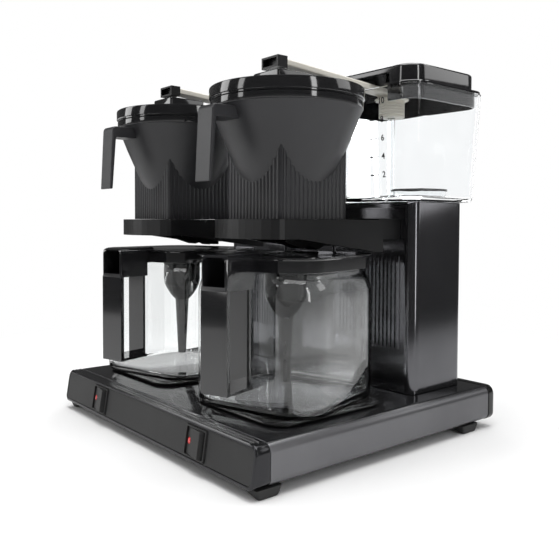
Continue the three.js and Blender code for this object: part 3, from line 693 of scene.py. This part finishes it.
def curve_point(a, b, c, d, t):
    """Catmull-Rom value between b and c."""
    return 0.5 * (2 * b + (c - a) * t + (2 * a - 5 * b + 4 * c - d) * t * t
                  + (3 * b - a - 3 * c + d) * t ** 3)


def smooth_rows(rows, per=5):
    """Catmull-Rom points between the given (half, radius, z) rows."""
    out = []
    for k in range(len(rows) - 1):
        p0, p1, p2, p3 = rows[max(k - 1, 0)], rows[k], rows[k + 1], rows[min(k + 2, len(rows) - 1)]
        for s in range(per):
            t = s / per
            out.append(tuple(curve_point(*values, t) for values in zip(p0, p1, p2, p3)))
    return out + [tuple(rows[-1])]


def build_glass(side, x):
    h, r, z = CARAFE_HALF, CARAFE_RADIUS, CARAFE_FLOOR_Z
    outer = [(h - 8, r - 6, z), (h - 4.4, r - 3, z + 0.5)]
    outer += smooth_rows([(h - 3, r - 2, z + 1.1), (h - 1.2, r - 0.5, z + 3.2), (h - 0.3, r, z + 6),
                          (h, r, z + 9)], 3)
    outer += smooth_rows([(h, r, 149), (h - 0.5, r, 156.5), (h - 2.6, r - 1, 163), (h - 5.4, r - 3, 167.6),
                          (h - 7.2, r - 4, 171)], 5)
    outer += [(h - 7.6, r - 4, 174), (h - 7.6, r - 4, 182), (h - 8.1, r - 4, 182.8)]
    inner = [(h - 9.3, r - 5, 182.8), (h - 9.8, r - 5, 182), (h - 9.8, r - 5, 174)]
    inner += smooth_rows([(h - 9.6, r - 5, 171.2), (h - 7.8, r - 4, 167), (h - 4.9, r - 2, 162.4),
                          (h - 2.8, r - 1, 156), (h - 2.2, r - 1, 149)], 5)
    inner += smooth_rows([(h - 2.2, r - 1, z + 11), (h - 2.8, r - 1.4, z + 8), (h - 5, r - 3, z + 5),
                          (h - 9, r - 6, z + 3.4), (h - 14, r - 8, z + 3)], 4)
    rings = [square_ring(half, radius, level, 0, 0, 14) for half, radius, level in outer + inner]
    glass = place(loft(f"{side}_carafe_jar", rings), carafe_place(x))
    finish_piece(glass, "clear_glass", f"{side}_carafe", [f"{side}_carafe_glass"], smooth=40)


def arch(half, y, inset, top=188.6, low=158.5):
    """Upright outline with rounded upper corners, as the handle's crown has."""
    half, top, r = half - inset, top - inset, 4.0
    points = [(-half, y, low), (half, y, low)]
    for turn, sign in ((0, 1), (1, -1)):
        for k in range(7):
            angle = (turn + k / 6) * math.pi / 2
            points.append((sign * (half - r) + r * math.cos(angle), y, top - r + r * math.sin(angle)))
    return points


def front_slope(reach, w):
    """Takes the upper front edge off the crown in a rounded sweep."""
    profile = [(-reach - 1, 190)]
    for k in range(9):
        angle = math.pi - k * math.pi / 16
        profile.append((-reach + 6 + 6 * math.cos(angle), 182.6 + 6 * math.sin(angle)))
    profile += [(-reach + 6, 190)]
    profile.insert(1, (-reach - 1, 182.6))
    return extrude_x("tool", profile, -w - 1, w + 1)


def build_collar(side, x):
    w, reach, h = HANDLE_HALF, HANDLE_REACH, COLLAR_HALF
    rings = [square_ring(half, radius, z, 0, 0, 16) for half, radius, z in
             ((h - 0.4, 29, 172.6), (h, 29.4, 173.0), (h, 29.4, 183.2), (h + 0.6, 30, 184.2),
              (h + 3.4, 32.6, 185.0), (h + 4, 33, 185.4), (h + 4, 33, 185.9), (h + 3.6, 32.6, 186.2))]
    collar = loft(f"{side}_collar_and_handle", rings)
    crown = loft("tool", [arch(w, y, inset) for y, inset in
                          ((-reach, 1.2), (-reach + 0.35, 0.5), (-reach + 1.2, 0), (-58, 0))])
    crown = cut(crown, front_slope(reach, w))
    collar = join(collar, crown)
    collar = join(collar, block("tool", -w, w, -reach + 0.5, -68.5, 72.1, 74.6))
    strap = [(-71.6, 72.4), (-71.6, 161), (-68.6, 161), (-68.6, 72.4)]
    collar = join(collar, extrude_x("tool", strap, -STRAP_HALF, STRAP_HALF))
    collar = cut(collar, loft("tool", [arch(w - 2.1, y, 0, 186.2, 162) for y in (-reach - 1, -72)]))
    grip = [(-reach, 72), (-reach + 4, 72), (-reach + 4, 159), (-reach + 3.6, 160.6), (-reach + 2.6, 161.4),
            (-reach + 1.3, 161.2), (-reach + 0.3, 160), (-reach, 158.4)]
    collar = join(collar, extrude_x("tool", grip, -w, w))
    collar = cut(collar, loft("tool", [square_ring(h - 4.2, 27, z, 0, 0, 16) for z in (150, 183.2)]))
    collar = cut(collar, loft("tool", [square_ring(h + 3, 32, z, 0, 0, 16) for z in (150, 172.3)]))
    mouth = [(0, 180), (53, 180), (53, 184.7), (56, 184.7), (56, 190), (0, 190)]
    collar = cut(collar, lathe("tool", mouth, 0, 0, 72))
    place(collar, carafe_place(x))
    finish_piece(collar, "lid_black", f"{side}_carafe", [f"{side}_carafe_collar"], bevel=0.5, smooth=30)


def build_carafe_lid(side, x):
    profile = [(0, 180.6), (9, 180.6), (9, 178), (38, 178), (51.2, 183.2), (51.6, 184.7), (51.6, 185.0),
               (54.4, 185.1), (54.8, 185.4), (54.7, 186.2), (54.2, 186.5), (42, 186.6),
               (40, 186.2), (20, 186.0), (0, 185.2)]
    lid = place(lathe(f"{side}_carafe_cover_disc", profile, 0, 0, 96), carafe_place(x))
    finish_piece(lid, "lid_black", f"{side}_carafe_cover", [f"{side}_carafe_lid"], smooth=28)
    profile = [(3, 64), (4.2, 64), (4.4, 64.4), (7.4, 127), (9.6, 129.0), (13, 133), (17.4, 140.6),
               (19.4, 145.6), (20.2, 151), (20.4, 177.6), (8.6, 177.6), (8.6, 180.2), (4, 180.2), (7, 176),
               (18.8, 176), (18.6, 151), (17.6, 146), (15.6, 141), (12, 134.8), (5.6, 128.6)]
    tube = place(lathe(f"{side}_mixing_funnel", profile, 0, 0, 64, True), carafe_place(x))
    finish_piece(tube, "inner_black", f"{side}_carafe_cover", [f"{side}_mixing_tube"], smooth=28)


# ------------------------------------------------------------------ floor, light and camera
def seen_directly(nodes, links):
    """One for rays that the eye follows straight or through glass, nought for reflections and bounces."""
    path = nodes.new("ShaderNodeLightPath")
    either = nodes.new("ShaderNodeMath")
    either.operation = "MAXIMUM"
    links.new(path.outputs["Is Camera Ray"], either.inputs[0])
    links.new(path.outputs["Is Transmission Ray"], either.inputs[1])
    return either.outputs["Value"]


def build_floor():
    reach, level = 9000, -0.2
    corners = [(-reach, -reach, level), (reach, -reach, level), (reach, reach, level), (-reach, reach, level)]
    floor = raw_object("floor", corners, [(0, 1, 2, 3)])
    mat, nodes, links, shader, coords = new_material("floor_pale")
    broad = noise(nodes, links, coords, 1.5, 2.0)
    ramp = colour_ramp(nodes, links, broad.outputs["Fac"], (0.93, 0.93, 0.93), (0.95, 0.95, 0.95))
    links.new(ramp.outputs["Color"], shader.inputs["Base Color"])
    shader.inputs["Roughness"].default_value = 0.9
    shader.inputs["Specular IOR Level"].default_value = 0.0
    length = nodes.new("ShaderNodeVectorMath")
    length.operation = "LENGTH"
    links.new(coords.outputs["Object"], length.inputs[0])
    fade = nodes.new("ShaderNodeMapRange")
    fade.interpolation_type = "SMOOTHSTEP"
    fade.inputs["From Min"].default_value = 0.22
    fade.inputs["From Max"].default_value = 0.75
    links.new(length.outputs["Value"], fade.inputs["Value"])
    share = nodes.new("ShaderNodeMath")
    share.operation = "MULTIPLY"
    links.new(fade.outputs["Result"], share.inputs[0])
    links.new(seen_directly(nodes, links), share.inputs[1])
    glow = nodes.new("ShaderNodeEmission")
    glow.inputs["Color"].default_value = (1, 1, 1, 1)
    mix = nodes.new("ShaderNodeMixShader")
    links.new(share.outputs["Value"], mix.inputs["Fac"])
    links.new(shader.outputs["BSDF"], mix.inputs[1])
    links.new(glow.outputs["Emission"], mix.inputs[2])
    links.new(mix.outputs["Shader"], nodes["Material Output"].inputs["Surface"])
    floor.data.materials.append(mat)


def build_world():
    """White backdrop to the eye, a dim room in the reflections."""
    world = bpy.data.worlds.new("studio")
    bpy.context.scene.world = world
    world.use_nodes = True
    nodes, links = world.node_tree.nodes, world.node_tree.links
    strength = nodes.new("ShaderNodeMapRange")
    strength.inputs["To Min"].default_value = ROOM_GLOW
    strength.inputs["To Max"].default_value = 1.0
    links.new(seen_directly(nodes, links), strength.inputs["Value"])
    background = nodes["Background"]
    background.inputs["Color"].default_value = (1, 1, 1, 1)
    links.new(strength.outputs["Result"], background.inputs["Strength"])
    bpy.context.scene.view_settings.view_transform = "Standard"


def area_light(name, location, target, size, power):
    data = bpy.data.lights.new(name, "AREA")
    data.shape = "RECTANGLE"
    data.size, data.size_y = size
    data.energy = power
    light = bpy.data.objects.new(name, data)
    bpy.context.scene.collection.objects.link(light)
    light.location = location
    aim = Vector(target) - Vector(location)
    light.rotation_euler = aim.to_track_quat("-Z", "Y").to_euler()


def build_lights():
    middle = (0.0, 0.0, 0.2)
    area_light("top_soft", (0.1, -0.1, 1.7), middle, (1.5, 1.5), 34)
    area_light("front_left_wide", (-1.5, -1.3, 0.85), middle, (0.6, 1.3), 9)
    area_light("front_left_narrow", (-0.55, -1.9, 0.85), middle, (0.3, 1.3), 5)
    area_light("right_strip", (1.8, -0.1, 0.75), middle, (0.22, 1.3), 6)
    area_light("rear_right_high", (1.55, 1.75, 1.4), (0.0, 0.0, 0.8), (1.1, 1.0), 7)
    area_light("rear_top", (0.0, 1.4, 1.7), middle, (1.8, 0.3), 5)
    area_light("rear_left", (-1.3, 1.2, 0.7), middle, (0.5, 1.0), 7)


def build_camera():
    azimuth, pitch, roll = math.radians(50.1), math.radians(1.99), math.radians(0.24)
    level = math.cos(pitch)
    back = Vector((math.sin(azimuth) * level, -math.cos(azimuth) * level, math.sin(pitch)))
    right = Vector((math.cos(azimuth), math.sin(azimuth), 0))
    up = back.cross(right)
    side = right * math.cos(roll) + up * math.sin(roll)
    top = up * math.cos(roll) - right * math.sin(roll)
    data = bpy.data.cameras.new("view")
    data.sensor_width = 36
    data.lens = 44.0
    data.shift_x, data.shift_y = -0.0073, -0.0596
    data.clip_end = 50
    camera = bpy.data.objects.new("view", data)
    bpy.context.scene.collection.objects.link(camera)
    matrix = Matrix((side, top, back)).transposed().to_4x4()
    matrix.translation = Vector((588.74, -473.30, 215.61)) * MM
    camera.matrix_world = matrix
    bpy.context.scene.camera = camera


build_camera()
build_floor()
build_world()
build_lights()
build_base()
for unit_side, unit_x in UNITS:
    build_switch(unit_side, unit_x)
    build_hot_plate(unit_side, unit_x)
    build_tower(unit_side, unit_x)
    build_tank(unit_side, unit_x)
    build_tank_lid(unit_side, unit_x)
    build_water_path(unit_side, unit_x)
    build_basket(unit_side, unit_x)
    build_basket_lid(unit_side, unit_x)
    build_holder(unit_side)
    build_glass(unit_side, unit_x)
    build_collar(unit_side, unit_x)
    build_carafe_lid(unit_side, unit_x)
